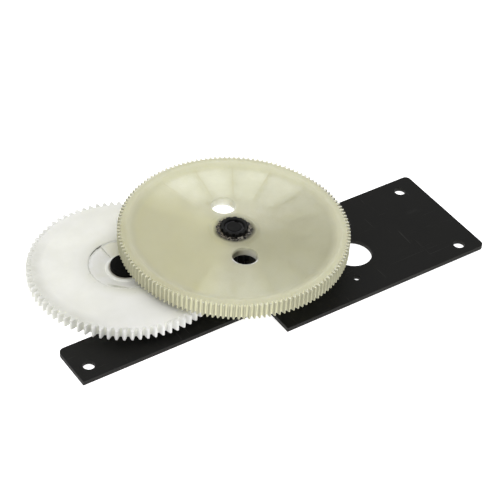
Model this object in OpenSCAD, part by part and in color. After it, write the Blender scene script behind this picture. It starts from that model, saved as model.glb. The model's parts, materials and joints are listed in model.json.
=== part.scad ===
// Two-stage spur gear reduction on a stepped steel motor plate.
// Origin: centre of the motor pilot bore at the plate's underside.
// +X runs along the plate to its wide end, +Z points up through the gears.

/* [Plate] */
// Thickness of the steel plate
plate_t = 3; // [3:0.1:3.2]
// Distance from the motor bore to the narrow left end
plate_left = 205.5; // [200:0.5:210]
// Distance from the motor bore to the wide right end
plate_right = 79.6; // [78:0.2:82]
// Distance from the motor bore to the front edge of the wide part
wide_front = 37.1; // [36:0.1:38]
// Distance from the motor bore to the back edge of the wide part
wide_back = 45.6; // [44:0.1:47]
// Distance from the motor bore to the front edge of the narrow strip
strip_front = 13.5; // [12:0.1:15]
// Distance from the motor bore to the back edge of the narrow strip
strip_back = 17.8; // [16:0.1:19]
// Distance from the motor bore to the step in the front edge
front_step = 76.1; // [74:0.1:78]
// Distance from the motor bore to the step in the back edge
back_step = 94; // [92:0.5:96]
// Radius of the rounded corners
corner_r = 3.5; // [2:0.5:4]

/* [Mounting holes] */
// Radius of the motor pilot bore
pilot_r = 12.75; // [12.5:0.05:13]
// Circle on which the two motor screws lie, as a diameter
motor_pcd = 48; // [46:0.5:50]
// Radius of a motor screw hole
motor_hole_r = 2.25; // [2.1:0.05:2.6]
// Direction of the first motor screw hole from the pilot bore
motor_hole_dir = 60.5; // [58:0.5:64]
// Radius of a frame bolt hole
frame_hole_r = 3.8; // [3.3:0.1:4.2]
// Distance along Y between the two frame bolt holes of the wide end
frame_pitch = 63; // [62:0.5:64]

/* [Gear train] */
// Teeth of the large first-stage gear
input_teeth = 144; // [144]
// Tooth module of the first stage
input_mod = 1; // [1]
// Teeth of the motor pinion that the large gear is laid out for
motor_teeth = 12; // [12]
// Teeth of the steel drive pinion
drive_teeth = 13; // [13]
// Teeth of the white output gear
output_teeth = 80; // [80]
// Tooth module of the second stage
output_mod = 1.5; // [1.5]
// Distance between the idler axis and the output axis
output_centres = 70.2; // [70.2:0.01:70.25]
// Direction from the motor bore to the idler axis
idler_dir = 155.4; // [154:0.1:157]
// Direction from the idler axis to the output axis
output_dir = 164.5; // [163:0.1:166]
// Height of the large gear's rim above the plate's underside
input_z = 20; // [19.8:0.1:20.2]
// Face width of the large gear's rim
input_face = 10.7; // [10.4:0.1:11]
// Height of the white gear's rim above the plate's underside
output_z = 9.2; // [9:0.1:9.4]
// Face width of the white gear's rim
output_face = 7.3; // [7:0.1:7.5]

/* [Running parts] */
// Radius of the fixed idler stud
stud_r = 5; // [4.9:0.05:5.1]
// Outer radius of the bronze bushes in the pinion
bush_r = 6.25; // [6.1:0.05:6.4]
// Radius of the output hub where it stands in the white gear
hub_r = 9.4; // [9.2:0.1:9.6]
// Radius of the output hub's bearing journal
journal_r = 7; // [6.8:0.1:7.2]
// Radius of the drive bore in the output hub
drive_bore_r = 4; // [3:0.1:4.2]
// Depth of the drive bore in the output hub
drive_bore_len = 12; // [10:0.5:12]
// Radial clearance of the running bearings
running_gap = 0.04; // [0.02:0.01:0.08]

/* [Hidden] */
$fn = 96;
pa = 20;      // pressure angle
eps = 0.01;   // overshoot of a cutting tool

function polar(r, a) = [r * cos(a), r * sin(a)];

idler_pos = polar(input_mod * (input_teeth + motor_teeth) / 2, idler_dir);
output_pos = idler_pos + polar(output_centres, output_dir);

// Tooth proportions
addendum = 1;
dedendum = 1.25;
drive_shift = 0.3;      // profile shift that saves the 13-tooth pinion from undercut
tooth_thin = 0.1;       // taken off each tooth of the second stage as backlash
mould_gap = 0.04;       // the moulded bore stays this clear of the pinion's flanks

// Plate details
ear_r = 20;
left_corner_r = 4;
frame_hole_x = 65.4;
frame_hole_y = 3.4;     // middle of the pair at the wide end
strip_hole = [-195.7, -2.8];

// Idler stack, as heights above the plate's underside
spacer_top = 6;
washer_top = 7;
pinion_z = 7.05;
teeth_top = input_z + input_face - 0.9;
pinion_top = teeth_top + 2.6;
ring_groove_z = 18.8;
ring_groove_h = 1.2;
ring_groove_r = 10.3;
stud_top = pinion_top - 0.8;
stud_groove_z = teeth_top + 0.4;
stud_groove_h = 1;
stud_groove_r = 4.4;

// Large gear
input_root_r = input_mod * (input_teeth / 2 - dedendum);
input_rim_r = 65.5;
round_rib_r = 34.5;
round_rib_w = 2;
input_hub_r = 15;
web_top = input_z + input_face - 2.2;
web_bottom = web_top - 3.4;
collar_bottom = web_top - 6.5;
light_hole_r = 8;
light_hole_at = 25;
light_hole_dir = 72.3;
hole_collar_w = 1.8;
rib_count = 16;
rib_dir = 12.6;
rib_w = 2;

// White gear and what turns with it
output_top = output_z + output_face;
mouth_r = 23.4;         // recess at the gear's upper face, from where it narrows
mouth_depth = 0.8;
recess_r = 22.4;
dish_in_r = 12.7;       // the dished washer falls from the recess's edge to this radius
dish_low = 12.65;
dish_high = 16;
washer_t = 1.2;         // thickness of the dished washer along Z
washer_gap = 0.05;      // between the dished washer and the recess under it
washer_ring_r = 12.4;   // raised ring of the dished washer, round the hub
washer_ring_top = 13.2;
rivet_top = 10.2;
output_boss_r = 27;
output_boss_z = 6.05;
under_groove = [32, 50];
under_groove_depth = 2.6;
under_rib_count = 8;
hub_flange_r = 16.9;
hub_flange_z = 6;
hub_flange_h = 1.5;
slit_dir = 102.7;
slit_span = [13.1, 21.6];
slit_w = 0.5;
hub_bottom = 0.6;
washer_in_r = hub_r - 0.55;
washer_out_r = recess_r - 0.1;
washer_seat_z = dish_low - washer_t - washer_gap;
journal_groove_r = 6.4;
circlip_z = 0.8;
circlip_h = 0.75;

// Output bearing
collar_r = 12;
collar_z = 1.6;
bearing_flange_r = 18.5;
bearing_flange_h = 1.6;
bush_outer_r = 9;
bush_flange_r = 11.5;
bush_flange_h = 0.75;
rivet_r = 1.5;
rivet_head_r = 2.6;
rivet_count = 3;
bearing_rivet_at = 15;
hub_rivet_at = 13;
hub_rivet_head_r = 2.8;

// Angle whose involute function is wanted, in degrees
function involute(a) = tan(a) * 180 / PI - a;

// Half of the angle that one tooth fills at radius r
function half_tooth(teeth, mod_mm, shift, thin, r) =
    let (pitch_r = teeth * mod_mm / 2,
        base_r = pitch_r * cos(pa),
        thickness = mod_mm * (PI / 2 + 2 * shift * tan(pa)) - thin)
    thickness / (2 * pitch_r) * 180 / PI + involute(pa)
        - involute(acos(base_r / max(r, base_r)));

// Outline of an involute gear with tooth 0 centred on +X
function gear_outline(teeth, mod_mm, shift, thin, grow, steps) =
    let (pitch_r = teeth * mod_mm / 2,
        base_r = pitch_r * cos(pa),
        root_r = pitch_r - mod_mm * (dedendum - shift) + grow,
        tip_r = pitch_r + mod_mm * (addendum + shift) + grow,
        flank_r = max(base_r, root_r),
        foot = root_r < base_r ? [root_r] : [],
        radii = concat(foot, [for (i = [0:steps]) flank_r + (tip_r - flank_r) * i / steps]),
        last = len(radii) - 1)
    [for (k = [0:teeth - 1], side = [-1, 1], i = [0:last])
        let (r = radii[side < 0 ? i : last - i])
        polar(r, 360 * k / teeth + side * half_tooth(teeth, mod_mm, shift, thin, r))];

module at(pos, z = 0, turn = 0) {
    translate([pos[0], pos[1], z]) rotate([0, 0, turn]) children();
}

module ring(outer, inner, h, z = 0) {
    translate([0, 0, z]) linear_extrude(h) difference() {
        circle(outer);
        circle(inner);
    }
}

// Ring with a gap from the inner to the outer edge, centred on +X
module open_ring(outer, inner, h, z, gap) {
    translate([0, 0, z]) linear_extrude(h) difference() {
        circle(outer);
        circle(inner);
        translate([0, -gap / 2]) square([outer + 1, gap]);
    }
}

// Rectangle from its lower and upper corners
module box_2d(low, high) {
    translate(low) square(high - low);
}

// What a rounded corner takes away; out points from the arc's centre to the corner
module corner_cut(corner, out, r) {
    translate(corner) mirror([out[0] > 0 ? 0 : 1, 0]) mirror([0, out[1] > 0 ? 0 : 1])
        translate([-r, -r]) difference() {
            square(r + 1);
            circle(r);
        }
}

module plate_outline() {
    difference() {
        union() {
            box_2d([-plate_left, -strip_front], [-front_step + 1, strip_back]);
            box_2d([-front_step, -wide_front], [plate_right, wide_back]);
            box_2d([-back_step, 0], [-front_step + 1, wide_back]);
            translate(output_pos) circle(ear_r);
            box_2d([output_pos[0] - ear_r, 0], [output_pos[0] + ear_r, output_pos[1]]);
        }
        corner_cut([-plate_left, strip_back], [-1, 1], left_corner_r);
        corner_cut([plate_right, wide_back], [1, 1], corner_r);
        corner_cut([plate_right, -wide_front], [1, -1], corner_r);
        corner_cut([-back_step, wide_back], [-1, 1], corner_r);
    }
}

module motor_screw_positions() {
    for (turn = [0, 180]) at(polar(motor_pcd / 2, motor_hole_dir + turn)) children();
}

module frame_hole_positions() {
    for (side = [-1, 1]) at([frame_hole_x, frame_hole_y + side * frame_pitch / 2]) children();
    at(strip_hole) children();
}

module bearing_rivet_positions() {
    for (k = [0:rivet_count - 1])
        at(output_pos + polar(bearing_rivet_at, output_dir + 60 + k * 120)) children();
}

// Straight shank from z to top, with a formed head flush with the face below
module flush_shank(r, z, top, head_r, head_h) {
    translate([0, 0, z]) cylinder(h = top - z, r = r);
    translate([0, 0, z]) cylinder(h = head_h, r1 = head_r, r2 = r);
}

module stud_tail() {
    flush_shank(4, 0.2, plate_t, 5.4, 1.4);
}

module bearing_rivet_tail() {
    flush_shank(rivet_r, 0.1, plate_t, 2.4, 0.9);
}

module mounting_plate() {
    color([0.14, 0.14, 0.13]) difference() {
        linear_extrude(plate_t) plate_outline();
        translate([0, 0, -1]) {
            cylinder(h = plate_t + 2, r = pilot_r);
            motor_screw_positions() cylinder(h = plate_t + 2, r = motor_hole_r);
            frame_hole_positions() cylinder(h = plate_t + 2, r = frame_hole_r);
            at(output_pos) cylinder(h = plate_t + 2, r = collar_r);
        }
        at(idler_pos) {
            stud_tail();
            translate([0, 0, -1]) cylinder(h = 1.2 + eps, r = 5.4);
            translate([0, 0, plate_t - eps]) cylinder(h = 1, r = 4);
        }
        bearing_rivet_positions() {
            bearing_rivet_tail();
            translate([0, 0, -1]) cylinder(h = 1.1 + eps, r = 2.4);
            translate([0, 0, plate_t - eps]) cylinder(h = 1, r = rivet_r);
        }
    }
}

module idler_stud() {
    chamfer = 0.6;
    color([0.25, 0.25, 0.26]) at(idler_pos) {
        stud_tail();
        difference() {
            union() {
                translate([0, 0, plate_t]) cylinder(h = stud_top - chamfer - plate_t, r = stud_r);
                translate([0, 0, stud_top - chamfer])
                    cylinder(h = chamfer, r1 = stud_r, r2 = stud_r - chamfer);
            }
            ring(stud_r + 1, stud_groove_r, stud_groove_h, stud_groove_z);
        }
    }
}

module idler_spacer() {
    color([0.62, 0.62, 0.6]) at(idler_pos) ring(8, stud_r, spacer_top - plate_t, plate_t);
}

module idler_thrust_washer() {
    color([0.7, 0.52, 0.28]) at(idler_pos)
        ring(8.2, stud_r, washer_top - spacer_top, spacer_top);
}

module idler_shim() {
    color([0.62, 0.62, 0.6]) at(idler_pos)
        ring(bush_r - 0.15, stud_r, 0.4, stud_groove_z - 0.45);
}

module idler_snap_ring() {
    color([0.2, 0.2, 0.2]) at(idler_pos, 0, 40)
        open_ring(5.9, stud_groove_r, stud_groove_h - 0.1, stud_groove_z + 0.05, 3);
}

module output_bearing_flange() {
    color([0.62, 0.62, 0.6]) difference() {
        at(output_pos) {
            ring(collar_r, bush_outer_r, plate_t - collar_z, collar_z);
            ring(bearing_flange_r, bush_outer_r, bearing_flange_h, plate_t);
        }
        bearing_rivet_positions() cylinder(h = 8, r = rivet_r);
    }
}

module bearing_rivets() {
    head_z = plate_t + bearing_flange_h;
    color([0.55, 0.55, 0.55]) bearing_rivet_positions() {
        bearing_rivet_tail();
        translate([0, 0, plate_t]) cylinder(h = bearing_flange_h, r = rivet_r);
        translate([0, 0, head_z]) cylinder(h = 0.4, r = rivet_head_r);
        translate([0, 0, head_z + 0.4]) cylinder(h = 0.5, r1 = rivet_head_r, r2 = 1.6);
    }
}

module output_bearing_bush() {
    seat = plate_t + bearing_flange_h;
    color([0.7, 0.52, 0.28]) at(output_pos) {
        ring(bush_outer_r, journal_r + running_gap, seat - collar_z, collar_z);
        ring(bush_flange_r, journal_r + running_gap, bush_flange_h, seat);
    }
}

module output_thrust_washer() {
    base = plate_t + bearing_flange_h + bush_flange_h;
    color([0.62, 0.62, 0.6]) at(output_pos)
        ring(bush_flange_r, journal_r + 0.2, hub_flange_z - 0.05 - base, base);
}

module drive_outline(thin = tooth_thin, grow = 0) {
    polygon(gear_outline(drive_teeth, output_mod, drive_shift, thin, grow, 6));
}

module light_hole_positions() {
    for (turn = [0, 180]) at(polar(light_hole_at, light_hole_dir + turn)) children();
}

module input_gear() {
    rim_bottom = input_z;
    color([0.86, 0.85, 0.72]) at(idler_pos) difference() {
        union() {
            translate([0, 0, rim_bottom]) rotate([0, 0, idler_dir + 180 / input_teeth])
                linear_extrude(input_face) difference() {
                    polygon(gear_outline(input_teeth, input_mod, 0, 0.1, 0, 3));
                    circle(input_rim_r);
                }
            translate([0, 0, web_bottom]) cylinder(h = web_top - web_bottom, r = input_rim_r);
            ring(round_rib_r, round_rib_r - round_rib_w, web_top - collar_bottom, collar_bottom);
            light_hole_positions() translate([0, 0, collar_bottom])
                cylinder(h = web_top - collar_bottom, r = light_hole_r + hole_collar_w);
            translate([0, 0, rim_bottom]) cylinder(h = web_top - rim_bottom, r = input_hub_r);
            translate([0, 0, web_top])
                cylinder(h = teeth_top - web_top, r1 = input_hub_r + 1, r2 = input_hub_r - 1);
            for (k = [0:rib_count - 1]) rotate([0, 0, rib_dir + k * 360 / rib_count])
                translate([round_rib_r - 1, -rib_w / 2, rim_bottom + 1.2])
                    cube([input_rim_r - round_rib_r + 1.5, rib_w, web_bottom - rim_bottom - 1]);
        }
        light_hole_positions() translate([0, 0, rim_bottom])
            cylinder(h = input_face, r = light_hole_r);
        translate([0, 0, rim_bottom - 1]) rotate([0, 0, output_dir])
            linear_extrude(input_face + 2) drive_outline(tooth_thin - 2 * mould_gap, mould_gap);
    }
}

module drive_pinion() {
    color([0.16, 0.16, 0.17]) at(idler_pos, 0, output_dir) difference() {
        union() {
            translate([0, 0, pinion_z]) linear_extrude(teeth_top - pinion_z) drive_outline();
            translate([0, 0, teeth_top]) linear_extrude(pinion_top - teeth_top)
                intersection() {
                    drive_outline();
                    circle(8.9);
                }
        }
        translate([0, 0, pinion_z - 1]) cylinder(h = pinion_top, r = bush_r);
        translate([0, 0, pinion_top - 0.5]) cylinder(h = 0.5 + eps, r1 = bush_r, r2 = bush_r + 0.5);
        ring(20, ring_groove_r, ring_groove_h, ring_groove_z);
    }
}

module pinion_bush(z) {
    color([0.7, 0.52, 0.28]) at(idler_pos) ring(bush_r, stud_r + running_gap, 9, z);
}

module pinion_bush_lower() {
    pinion_bush(pinion_z + 0.05);
}

module pinion_bush_upper() {
    pinion_bush(stud_groove_z - 0.5 - 9);
}

module gear_retaining_ring() {
    color([0.2, 0.2, 0.2]) at(idler_pos, 0, 250)
        open_ring(13.6, ring_groove_r, ring_groove_h - 0.05, ring_groove_z + 0.05, 5);
}

module output_gear() {
    tooth_gap_turn = output_dir + 180 + 180 / output_teeth;
    color([0.93, 0.93, 0.9]) at(output_pos) difference() {
        union() {
            translate([0, 0, output_z]) rotate([0, 0, tooth_gap_turn]) linear_extrude(output_face)
                polygon(gear_outline(output_teeth, output_mod, 0, tooth_thin, 0, 4));
            translate([0, 0, output_boss_z])
                cylinder(h = output_z - output_boss_z + 1, r = output_boss_r);
        }
        rotate_extrude() polygon([[0, output_top + 1], [mouth_r, output_top + 1], [mouth_r, output_top],
            [recess_r, output_top - mouth_depth], [recess_r, dish_high - washer_t - washer_gap],
            [dish_in_r, washer_seat_z], [0, washer_seat_z]]);
        translate([0, 0, output_boss_z - 1]) cylinder(h = output_face, r = hub_r);
        translate([0, 0, output_boss_z - 1])
            cylinder(h = hub_flange_z + hub_flange_h - output_boss_z + 1, r = hub_flange_r + 0.1);
        difference() {
            ring(under_groove[1], under_groove[0], under_groove_depth + 1, output_z - 1);
            for (k = [0:under_rib_count - 1]) rotate([0, 0, k * 360 / under_rib_count])
                translate([under_groove[0] - 1, -1, output_z]) cube([20, 2, under_groove_depth + 1]);
        }
        hub_rivet_positions() {
            hub_rivet();
            translate([0, 0, rivet_top - eps]) cylinder(h = output_face, r = hub_rivet_head_r);
        }
    }
}

module hub_rivet_positions() {
    for (k = [0:rivet_count - 1]) rotate([0, 0, 30 + k * 120])
        translate([hub_rivet_at, 0, 0]) children();
}

// Rivet through hub flange and gear web, its upper head sunk under the dished washer
module hub_rivet() {
    translate([0, 0, hub_flange_z]) cylinder(h = rivet_top - hub_flange_z, r = 1.6);
    translate([0, 0, hub_flange_z]) cylinder(h = 0.8, r1 = 2.4, r2 = 1.6);
    translate([0, 0, rivet_top - 1.2]) cylinder(h = 1.2, r1 = 1.6, r2 = hub_rivet_head_r);
}

module hub_rivets() {
    color([0.55, 0.55, 0.55]) at(output_pos) hub_rivet_positions() hub_rivet();
}

module output_hub() {
    chamfer = 0.5;
    color([0.15, 0.15, 0.16]) at(output_pos) difference() {
        union() {
            translate([0, 0, hub_bottom]) cylinder(h = hub_flange_z - hub_bottom, r = journal_r);
            translate([0, 0, hub_flange_z]) cylinder(h = hub_flange_h, r = hub_flange_r);
            translate([0, 0, hub_flange_z])
                cylinder(h = output_top - chamfer - hub_flange_z, r = hub_r);
            translate([0, 0, output_top - chamfer])
                cylinder(h = chamfer, r1 = hub_r, r2 = hub_r - chamfer);
        }
        ring(hub_r + 1, washer_in_r - washer_gap, washer_ring_top - washer_seat_z + washer_gap, washer_seat_z);
        ring(journal_r + 1, journal_groove_r, circlip_h + 0.1, circlip_z - 0.05);
        translate([0, 0, hub_bottom - 1]) cylinder(h = drive_bore_len + 1, r = drive_bore_r);
        translate([0, 0, output_top - 1.2]) cylinder(h = 1.2 + eps, r1 = 0.6, r2 = 1.8);
        hub_rivet_positions() hub_rivet();
    }
}

// Washer that falls from the recess's edge to a raised ring round the hub, with one radial slit
module dished_washer() {
    color([0.9, 0.9, 0.84]) at(output_pos, 0, slit_dir) difference() {
        rotate_extrude() polygon([[washer_in_r, washer_ring_top], [washer_ring_r, washer_ring_top],
            [dish_in_r, dish_low], [washer_out_r, dish_high], [washer_out_r, dish_high - washer_t],
            [dish_in_r, dish_low - washer_t], [washer_in_r, dish_low - washer_t]]);
        translate([slit_span[0], -slit_w / 2, 0]) cube([slit_span[1] - slit_span[0], slit_w, output_top]);
    }
}

module output_circlip() {
    color([0.2, 0.2, 0.2]) at(output_pos, 0, 300)
        open_ring(10.5, journal_groove_r, circlip_h, circlip_z, 5);
}

mounting_plate();
idler_stud();
idler_spacer();
idler_thrust_washer();
idler_shim();
idler_snap_ring();
output_bearing_flange();
bearing_rivets();
output_bearing_bush();
output_thrust_washer();
input_gear();
drive_pinion();
pinion_bush_lower();
pinion_bush_upper();
gear_retaining_ring();
output_gear();
output_hub();
hub_rivets();
dished_washer();
output_circlip();
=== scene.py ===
"""Spur gear reduction on a motor plate: meshes, materials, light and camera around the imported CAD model."""

import math
import random

import bmesh
import bpy
import numpy as np
from mathutils import Matrix, Vector
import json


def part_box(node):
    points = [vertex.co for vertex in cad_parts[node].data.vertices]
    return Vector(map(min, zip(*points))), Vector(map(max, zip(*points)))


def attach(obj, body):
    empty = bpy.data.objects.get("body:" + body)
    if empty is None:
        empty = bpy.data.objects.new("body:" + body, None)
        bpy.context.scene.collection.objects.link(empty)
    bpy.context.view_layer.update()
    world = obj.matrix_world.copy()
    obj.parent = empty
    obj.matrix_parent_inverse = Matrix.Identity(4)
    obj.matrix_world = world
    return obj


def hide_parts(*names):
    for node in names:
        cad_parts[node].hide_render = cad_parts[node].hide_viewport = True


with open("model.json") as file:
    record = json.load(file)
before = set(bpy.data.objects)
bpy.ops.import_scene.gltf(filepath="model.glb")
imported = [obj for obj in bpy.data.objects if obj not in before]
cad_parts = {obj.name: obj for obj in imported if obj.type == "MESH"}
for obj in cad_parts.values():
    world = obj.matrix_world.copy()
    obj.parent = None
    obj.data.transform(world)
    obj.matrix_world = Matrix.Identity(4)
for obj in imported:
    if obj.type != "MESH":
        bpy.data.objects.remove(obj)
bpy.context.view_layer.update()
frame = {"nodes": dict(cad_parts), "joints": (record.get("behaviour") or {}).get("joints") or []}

MM = 0.001
TAU = 2 * math.pi

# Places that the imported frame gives. From here to the materials every length is in millimetres.


def joint_place(name):
    """X and Y of a joint's axis."""
    joint = next(j for j in frame["joints"] if j["name"] == name)
    return np.array(joint["pos_m"][:2]) / MM


def heights(node):
    """Lowest and highest Z of a CAD node."""
    low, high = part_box(node)
    return low.z / MM, high.z / MM


IDLER = joint_place("intermediate_gear_spin")
OUTPUT = joint_place("output_gear_spin")
RIM_LOW, RIM_HIGH = heights("input_gear")
PINION_LOW, PINION_HIGH = heights("drive_pinion")
WHITE_LOW, WHITE_HIGH = heights("output_gear")
RIVET_TOP = heights("hub_rivets")[1]

# Gear proportions, the same as the CAD model's
PRESSURE_ANGLE = math.radians(20)
ADDENDUM = 1.0
DEDENDUM = 1.25
INPUT_TEETH, INPUT_MODULE = 144, 1.0
DRIVE_TEETH, DRIVE_MODULE, DRIVE_SHIFT = 13, 1.5, 0.3
OUTPUT_TEETH = 80  # of the drive pinion's module
TOOTH_THIN = 0.1
MOULD_GAP = 0.04
MOTOR_DIRECTION = math.atan2(-IDLER[1], -IDLER[0])
TO_OUTPUT = math.atan2(*(OUTPUT - IDLER)[::-1])
HALF_INPUT_PITCH = math.pi / INPUT_TEETH
HALF_OUTPUT_PITCH = math.pi / OUTPUT_TEETH

# Large gear's section
RIM_INNER = 65.5
RIM_MIDDLE = 68.6
BORE_EDGE = 13.2
TEETH_TOP = RIM_HIGH - 0.9
WEB_TOP = RIM_HIGH - 2.2
WEB_LOW = WEB_TOP - 3.4
ROUND_RIB_R = 34.5
ROUND_RIB_WIDTH = 2.0
COLLAR_LOW = WEB_TOP - 6.5
HUB_R = 15.0
LIGHT_HOLE_R = 8.0
LIGHT_HOLE_AT = 25.0
LIGHT_HOLE_DIRECTION = math.radians(72.3)
COLLAR_WIDTH = 1.8
RIBS = 16
RIB_DIRECTION = math.radians(12.6)
RIB_WIDTH = 2.0

# White gear's section
WHITE_RIM_LOW = WHITE_HIGH - 7.3
WHITE_RIM_MIDDLE = 55.5
SUNK_OUT, SUNK_IN, SUNK_DEPTH = 50.5, 33.5, 0.18
MOUTH_R, MOUTH_DEPTH = 23.4, 0.8
RECESS_R = 22.31
DISH_IN_R = 12.7
SEAT_LOW, SEAT_HIGH = 11.4, 14.75
WHITE_BOSS_R = 27.0
GROOVE_IN, GROOVE_OUT = 32.0, 50.0
GROOVE_TOP = WHITE_RIM_LOW + 2.6
SHAFT_R = 9.4
FLANGE_SEAT_R = 17.0
FLANGE_SEAT_TOP = 7.5
WHITE_RIBS = 8
RIVET_AT = 13.0
RIVET_R, RIVET_HEAD_R = 1.6, 2.8

# Mesh detail
JOIN_WITHIN = 0.002
ROUNDING_STEPS = 3


# ---------------------------------------------------------------- mesh tools


def mesh_object(name, points, faces):
    """A mesh object from points in millimetres; doubled points are joined and faces point outwards."""
    mesh = bpy.data.meshes.new(name)
    mesh.from_pydata((np.asarray(points, float) * MM).tolist(), [], faces)
    made = bmesh.new()
    made.from_mesh(mesh)
    bmesh.ops.remove_doubles(made, verts=made.verts, dist=JOIN_WITHIN * MM)
    bmesh.ops.dissolve_degenerate(made, edges=made.edges, dist=JOIN_WITHIN / 2 * MM)
    bmesh.ops.recalc_face_normals(made, faces=made.faces)
    made.to_mesh(mesh)
    made.free()
    obj = bpy.data.objects.new(name, mesh)
    bpy.context.scene.collection.objects.link(obj)
    return obj


def soften(obj, angle=32):
    """Smooth shading, with edges above the angle kept crisp."""
    obj.data.polygons.foreach_set("use_smooth", [True] * len(obj.data.polygons))
    obj.data.set_sharp_from_angle(angle=math.radians(angle))
    return obj


def zip_rings(first, first_angles, second, second_angles):
    """Triangles between two rings of points whose counts differ, walking both by angle."""
    shift = int(np.argmin(np.abs((second_angles - first_angles[0] + math.pi) % TAU - math.pi)))
    second = np.roll(second, -shift)
    gap = (second_angles[shift] - first_angles[0] + math.pi) % TAU - math.pi
    turned = (np.roll(second_angles, -shift) - second_angles[shift]) % TAU + gap
    straight = (first_angles - first_angles[0]) % TAU
    ends = np.append(straight, TAU), np.append(turned, TAU + gap)
    faces, i, j = [], 0, 0
    while i < len(first) or j < len(second):
        a, b = first[i % len(first)], second[j % len(second)]
        if j == len(second) or (i < len(first) and ends[0][i + 1] <= ends[1][j + 1]):
            i += 1
            faces.append((int(a), int(first[i % len(first)]), int(b)))
        else:
            j += 1
            faces.append((int(a), int(second[j % len(second)]), int(b)))
    return faces


def ring(angles, radius, z):
    """One closed ring of a lofted body: its angles, its radii and its height."""
    return angles, np.broadcast_to(np.asarray(radius, float), angles.shape), z


def loft(name, centre, rings):
    """A closed body of revolution, toothed or plain, from rings that run once round its section."""
    points, starts = [], []
    for angles, radii, z in rings:
        starts.append(len(points))
        heights_here = np.full(len(angles), float(z))
        xy = np.stack([centre[0] + radii * np.cos(angles), centre[1] + radii * np.sin(angles)], 1)
        points.extend(np.column_stack([xy, heights_here]).tolist())
    faces = []
    for k, (angles, _, _) in enumerate(rings):
        after = (k + 1) % len(rings)
        other = rings[after][0]
        here = np.arange(len(angles)) + starts[k]
        there = np.arange(len(other)) + starts[after]
        if len(angles) == len(other):
            quads = np.stack([here, np.roll(here, -1), np.roll(there, -1), there], 1)
            faces.extend(quads.tolist())
        else:
            faces.extend(zip_rings(here, angles, there, other))
    return mesh_object(name, points, faces)


def rounded(points, cuts):
    """A run of points with its corners softened; cuts says how far from each corner the curve starts."""
    made = []
    for i, corner in enumerate(points):
        cut = cuts[i]
        if not cut:
            made.append(np.array(corner, float))
            continue
        here = np.array(corner, float)
        ends = []
        for other in (points[i - 1], points[(i + 1) % len(points)]):
            away = np.array(other, float) - here
            ends.append(here + away * min(0.48, cut / np.linalg.norm(away)))
        for k in range(ROUNDING_STEPS + 1):
            t = k / ROUNDING_STEPS
            made.append((1 - t) ** 2 * ends[0] + 2 * t * (1 - t) * here + t * t * ends[1])
    return np.array(made)


def section(angles, corners):
    """Plain rings through (radius, height, rounding) corners."""
    run = rounded([c[:2] for c in corners], [c[2] for c in corners])
    return [ring(angles, radius, z) for radius, z in run]


def involute(angle):
    """The involute function: how far an involute has unrolled at a pressure angle."""
    return math.tan(angle) - angle


def tooth_ring(teeth, module, z, turn, shift=0.0, thin=0.0, inset=0.0, steps=4, softness=0.12):
    """Ring along an involute gear's teeth, with softened tips and roots; inset shrinks the solid."""
    pitch_r = teeth * module / 2
    base_r = pitch_r * math.cos(PRESSURE_ANGLE)
    root_r = pitch_r - module * (DEDENDUM - shift) - inset
    tip_r = pitch_r + module * (ADDENDUM + shift) - inset
    thickness = module * (math.pi / 2 + 2 * shift * math.tan(PRESSURE_ANGLE)) - thin - 2 * inset

    def half(radius):
        """Half a tooth's angle at a radius."""
        lean = involute(math.acos(base_r / max(radius, base_r)))
        return thickness / (2 * pitch_r) + involute(PRESSURE_ANGLE) - lean

    radii = [root_r] if root_r < base_r else []
    radii += list(np.linspace(max(base_r, root_r), tip_r, steps + 1))
    flank = [(r * math.cos(half(r)), r * math.sin(half(r))) for r in radii]
    right = [(x, -y) for x, y in flank]
    pitch = math.pi / teeth
    gap = [(root_r * math.cos(pitch), side * root_r * math.sin(pitch)) for side in (-1, 1)]
    run = [gap[0], *right, *flank[::-1], gap[1]]
    cuts = np.zeros(len(run))
    tip_cut, root_cut = softness * module, 1.6 * softness * module
    cuts[[1, -2]] = root_cut
    cuts[[len(right), len(right) + 1]] = tip_cut
    tooth = rounded(run, cuts)[:-1]
    angles = np.arctan2(tooth[:, 1], tooth[:, 0])
    radii = np.hypot(tooth[:, 0], tooth[:, 1])
    turns = np.arange(teeth) * 2 * pitch + turn
    return (turns[:, None] + angles[None, :]).ravel(), np.tile(radii, teeth), z


def circle(count, start=0.0):
    """Evenly spaced angles once round."""
    return start + np.arange(count) * TAU / count


def merged(obj, *changes):
    """Applies boolean changes to obj, given as (operation, tool object), and removes the tools."""
    for operation, tool in changes:
        change = obj.modifiers.new(operation, "BOOLEAN")
        change.operation, change.object, change.solver = operation, tool, "EXACT"
    shape = obj.evaluated_get(bpy.context.evaluated_depsgraph_get())
    mesh = bpy.data.meshes.new_from_object(shape)
    obj.modifiers.clear()
    obj.data = mesh
    for _, tool in changes:
        bpy.data.objects.remove(tool)


def spools(name, places, profile):
    """Round cutters or rivets on upright axes, from a (radius, height) profile closed at both ends."""
    points, faces = [], []
    angles = circle(64)
    for place in places:
        start = len(points)
        for radius, z in profile:
            for a in angles:
                points.append((place[0] + radius * math.cos(a), place[1] + radius * math.sin(a), z))
        count = len(angles)
        for level in range(len(profile) - 1):
            for k in range(count):
                a, b = start + level * count + k, start + level * count + (k + 1) % count
                faces.append((a, b, b + count, a + count))
        faces.append(tuple(range(start, start + count)))
        faces.append(tuple(range(len(points) - count, len(points))))
    return mesh_object(name, points, faces)


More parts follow.
